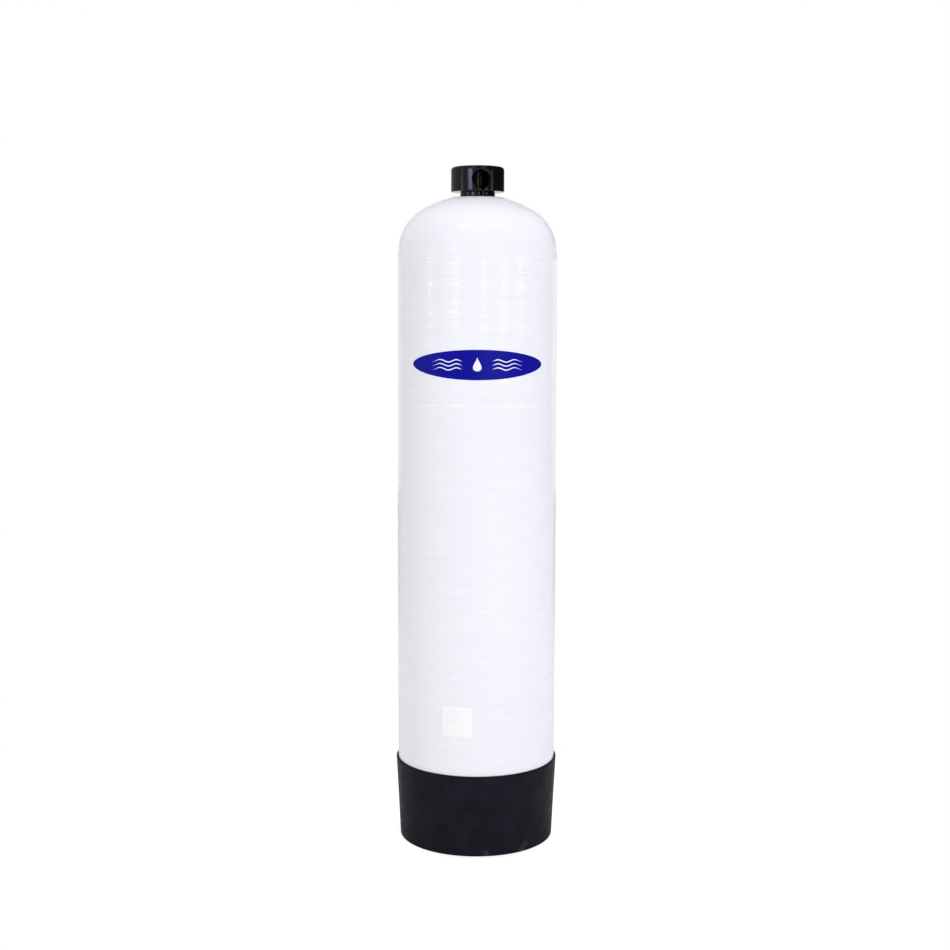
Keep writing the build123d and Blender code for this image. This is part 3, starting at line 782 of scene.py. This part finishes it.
cutter = helix(
    "neck_cutter", NECK_GROOVE_TIP, NECK_GROOVE_ROOT, THREAD_PITCH, THREAD_START_Z, THREAD_TURNS + 1
)
combine(head, cutter, "DIFFERENCE")
for bearing in (PORT_YAW, back):
    cutter = helix(
        "port_cutter", PORT_GROOVE_TIP, PORT_GROOVE_ROOT, PORT_PITCH, PORT_START, PORT_TURNS
    )
    set_in_port(cutter, bearing)
    combine(head, cutter, "DIFFERENCE")
bpy.ops.object.shade_smooth_by_angle(angle=radians(HEAD_SMOOTH))

head_plastic, tree, shader = finish("head_plastic", HEAD_COLOUR)
roughen(tree, shader, mottle(tree, scale=90), HEAD_ROUGHNESS)
relief(tree, shader, mottle(tree, scale=400, detail=2), depth=0.00001)
head.data.materials.append(head_plastic)
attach(head, "head")
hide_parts("head_body")

# Oval label. A film die-cut to an ellipse and printed blue, with a plain drop and wave lines
# left white, stuck on by its own glue high on the front.
FILM_BLUE = (0.003, 0.003, 0.29)
FILM_WHITE = (0.84, 0.84, 0.9)
FILM_SHEEN = 0.1
FILM_ROUGHNESS = (0.36, 0.44)
OVAL_Z = 1.0137
DROP_LOW = 0.0125
DROP_HEIGHT = 0.028
DROP_HALF_WIDTH = 0.0085
DROP_WIDEST = sqrt(0.25 * 0.75**3)
WAVE_START = (0.028, 0.040)
WAVE_END = (0.064, 0.094)
WAVE_LENGTH = 0.033
WAVE_SWING = 0.0024
WAVE_HALF_WIDTH = 0.0011
WAVE_RISES = (-0.008, 0.0, 0.008)
blue_film, tree, shader = finish("blue_film", FILM_BLUE)
shader.inputs["Specular IOR Level"].default_value = FILM_SHEEN
place = apart(tree, coordinates(tree))
across = maths(tree, "ABSOLUTE", place["X"])
above = maths(tree, "SUBTRACT", place["Z"], OVAL_Z)
# The drop's half width goes as the root of s (1 - s)^3, where s is its height from 0 to 1.
share = maths(tree, "DIVIDE", maths(tree, "ADD", above, DROP_LOW), DROP_HEIGHT, clamp=True)
bulge = maths(tree, "POWER", maths(tree, "SUBTRACT", 1, share), 3)
bulge = maths(tree, "SQRT", maths(tree, "MULTIPLY", share, bulge))
edge = maths(tree, "MULTIPLY", bulge, DROP_HALF_WIDTH / DROP_WIDEST)
printed = maths(tree, "LESS_THAN", across, edge)
swing = maths(tree, "SINE", maths(tree, "MULTIPLY", across, 2 * pi / WAVE_LENGTH))
swing = maths(tree, "MULTIPLY", swing, WAVE_SWING)
taper = crossfade(tree, across, WAVE_START, 0, WAVE_HALF_WIDTH)
taper = maths(tree, "MULTIPLY", taper, crossfade(tree, across, WAVE_END, 1, 0))
for rise in WAVE_RISES:
    off = maths(tree, "SUBTRACT", maths(tree, "SUBTRACT", above, swing), rise)
    wave = maths(tree, "LESS_THAN", maths(tree, "ABSOLUTE", off), taper)
    printed = maths(tree, "MAXIMUM", printed, wave)
feed(tree, shader.inputs["Base Color"], blend(tree, printed, (*FILM_BLUE, 1), (*FILM_WHITE, 1)))
roughen(tree, shader, mottle(tree, scale=50), FILM_ROUGHNESS)
dress("oval_label", blue_film)

# Data label. A square of white film, stuck on by its own glue low on the front. It is printed
# with a faint blank form: plain bars, each with its height on the tank and its length.
DATA_WHITE = (0.93, 0.93, 0.95)
DATA_GREY = (0.86, 0.86, 0.935)
DATA_ROUGHNESS = (0.3, 0.4)
DATA_LEFT = -0.0640
BAR_HALF_HEIGHT = 0.0006
DATA_BARS = (
    (0.3075, 0.046),
    (0.3040, 0.030),
    (0.2990, 0.040),
    (0.2950, 0.022),
    (0.2910, 0.034),
    (0.2870, 0.042),
    (0.2830, 0.026),
    (0.2790, 0.036),
    (0.2660, 0.020),
)
white_film, tree, shader = finish("white_film", DATA_WHITE)
place = apart(tree, coordinates(tree))
printed = 0.0
for height, length in DATA_BARS:
    off = maths(tree, "ABSOLUTE", maths(tree, "SUBTRACT", place["Z"], height))
    bar = maths(tree, "LESS_THAN", off, BAR_HALF_HEIGHT)
    bar = maths(tree, "MULTIPLY", bar, maths(tree, "LESS_THAN", place["X"], DATA_LEFT + length))
    printed = maths(tree, "MAXIMUM", printed, bar)
printed = maths(tree, "MULTIPLY", printed, maths(tree, "GREATER_THAN", place["X"], DATA_LEFT))
feed(tree, shader.inputs["Base Color"], blend(tree, printed, (*DATA_WHITE, 1), (*DATA_GREY, 1)))
roughen(tree, shader, mottle(tree, scale=50), DATA_ROUGHNESS)
dress("data_label", white_film)
